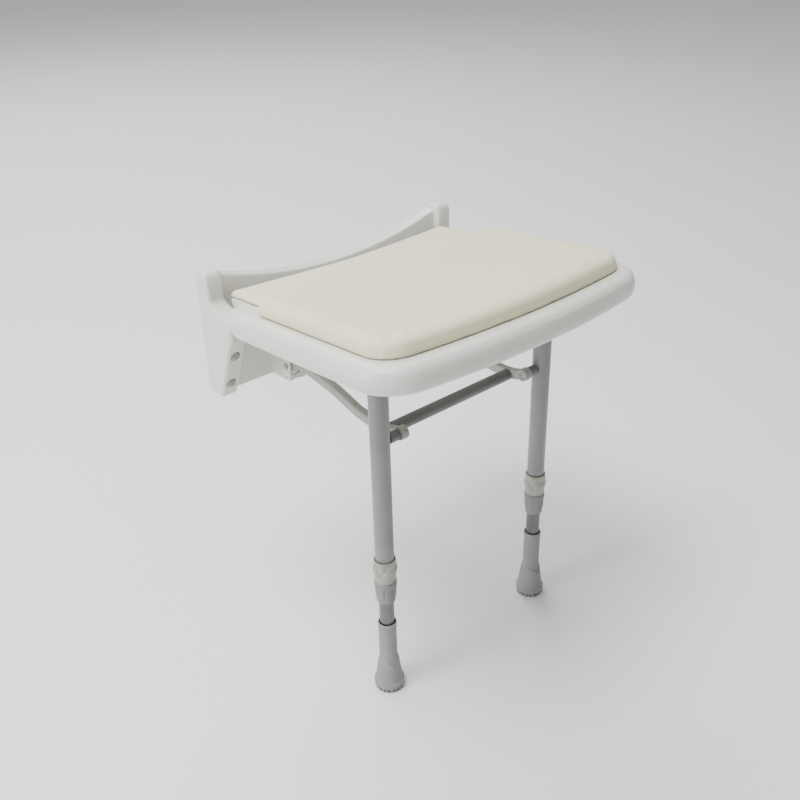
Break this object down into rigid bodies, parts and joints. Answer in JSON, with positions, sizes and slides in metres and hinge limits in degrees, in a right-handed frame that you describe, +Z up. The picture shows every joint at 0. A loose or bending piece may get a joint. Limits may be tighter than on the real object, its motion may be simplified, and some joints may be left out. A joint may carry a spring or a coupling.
{
  "type": "wall-mounted folding shower seat",
  "caption": "Padded shower seat that folds up against its wall bracket, with drop-down height-adjustable legs steadied by a curved stay frame.",
  "frame": {"origin": "on the wall face of the bracket, midway between its sides", "axes": "+Y into the wall, +Z up, +X to the right seen from the front of the seat"},
  "size_m": [0.445, 0.4048, 0.569],
  "materials": {
    "white_plastic": "satin moulded white plastic",
    "cream_foam": "matt self-skinned polyurethane foam, cream",
    "cream_nylon": "matt moulded nylon, cream",
    "painted_tube": "satin light grey powder coat on aluminium tube",
    "anodised_tube": "satin anodised tube",
    "pale_rubber": "matt pale grey rubber",
    "steel": "zinc plated steel"
  },
  "bodies": {
    "wall_mount": {"screw_cap_left_lower": "cream_nylon", "screw_cap_left_upper": "cream_nylon", "screw_cap_right_lower": "cream_nylon", "screw_cap_right_upper": "cream_nylon", "seat_hinge_pin_left": "steel", "seat_hinge_pin_right": "steel", "stay_pivot_pin_left": "steel", "stay_pivot_pin_right": "steel", "wall_bracket": "white_plastic", "wall_screw_left_lower": "steel", "wall_screw_left_upper": "steel", "wall_screw_right_lower": "steel", "wall_screw_right_upper": "steel"},
    "seat": {"leg_hinge_block_left": "cream_nylon", "leg_hinge_block_right": "cream_nylon", "leg_pivot_pin_left": "steel", "leg_pivot_pin_right": "steel", "pad_screw_1": "steel", "pad_screw_2": "steel", "pad_screw_3": "steel", "pad_screw_4": "steel", "seat_hinge_bush_left": "cream_nylon", "seat_hinge_bush_right": "cream_nylon", "seat_pad": "cream_foam", "seat_shell": "white_plastic"},
    "stay_frame": {"stay_left": "white_plastic", "stay_right": "white_plastic", "crossbar": "painted_tube", "crossbar_screw_left": "steel", "crossbar_screw_right": "steel", "leg_bolt_left": "steel", "leg_bolt_right": "steel", "stay_spacer_left": "white_plastic", "stay_spacer_right": "white_plastic"},
    "left_leg": {"leg_outer_tube_left": "painted_tube", "leg_top_plug_left": "cream_nylon", "leg_collar_left": "cream_nylon", "leg_collet_left": "cream_nylon"},
    "left_inner_leg": {"leg_inner_tube_left": "anodised_tube", "leg_ferrule_left": "pale_rubber", "leg_ferrule_washer_left": "steel"},
    "left_lock_nut": {"leg_lock_nut_left": "white_plastic"},
    "right_leg": {"leg_outer_tube_right": "painted_tube", "leg_top_plug_right": "cream_nylon", "leg_collar_right": "cream_nylon", "leg_collet_right": "cream_nylon"},
    "right_inner_leg": {"leg_inner_tube_right": "anodised_tube", "leg_ferrule_right": "pale_rubber", "leg_ferrule_washer_right": "steel"},
    "right_lock_nut": {"leg_lock_nut_right": "white_plastic"}
  },
  "joints": [
    {"name": "seat_fold", "type": "hinge", "parent": "wall_mount", "child": "seat", "pos_m": [0, -0.053, 0.078], "axis": [-1, 0, 0], "range_deg": [0, 86]},
    {"name": "left_leg_swing", "type": "hinge", "parent": "seat", "child": "left_leg", "pos_m": [-0.1455, -0.2794, 0.066], "axis": [-1, 0, 0], "range_deg": [-86, 0]},
    {"name": "left_inner_slide", "type": "slide", "parent": "left_leg", "child": "left_inner_leg", "axis": [0, 0, -1], "range_m": [-0.036, 0.08]},
    {"name": "left_nut_twist", "type": "hinge", "parent": "left_leg", "child": "left_lock_nut", "pos_m": [-0.1455, -0.2794, -0.254], "axis": [0, 0, 1], "range_deg": [0, 90]},
    {"name": "right_leg_swing", "type": "hinge", "parent": "seat", "child": "right_leg", "pos_m": [0.1455, -0.2794, 0.066], "axis": [-1, 0, 0], "range_deg": [-86, 0]},
    {"name": "right_inner_slide", "type": "slide", "parent": "right_leg", "child": "right_inner_leg", "axis": [0, 0, -1], "range_m": [-0.036, 0.08]},
    {"name": "right_nut_twist", "type": "hinge", "parent": "right_leg", "child": "right_lock_nut", "pos_m": [0.1455, -0.2794, -0.254], "axis": [0, 0, 1], "range_deg": [0, 90]},
    {"name": "stay_swing", "type": "hinge", "parent": "wall_mount", "child": "stay_frame", "pos_m": [0, -0.053, -0.017], "axis": [-1, 0, 0], "range_deg": [0, 86]}
  ],
  "couplings": [
    {"joint": "left_leg_swing", "follows": "seat_fold", "ratio": -1},
    {"joint": "right_leg_swing", "follows": "seat_fold", "ratio": -1},
    {"joint": "stay_swing", "follows": "seat_fold", "ratio": 1}
  ]
}
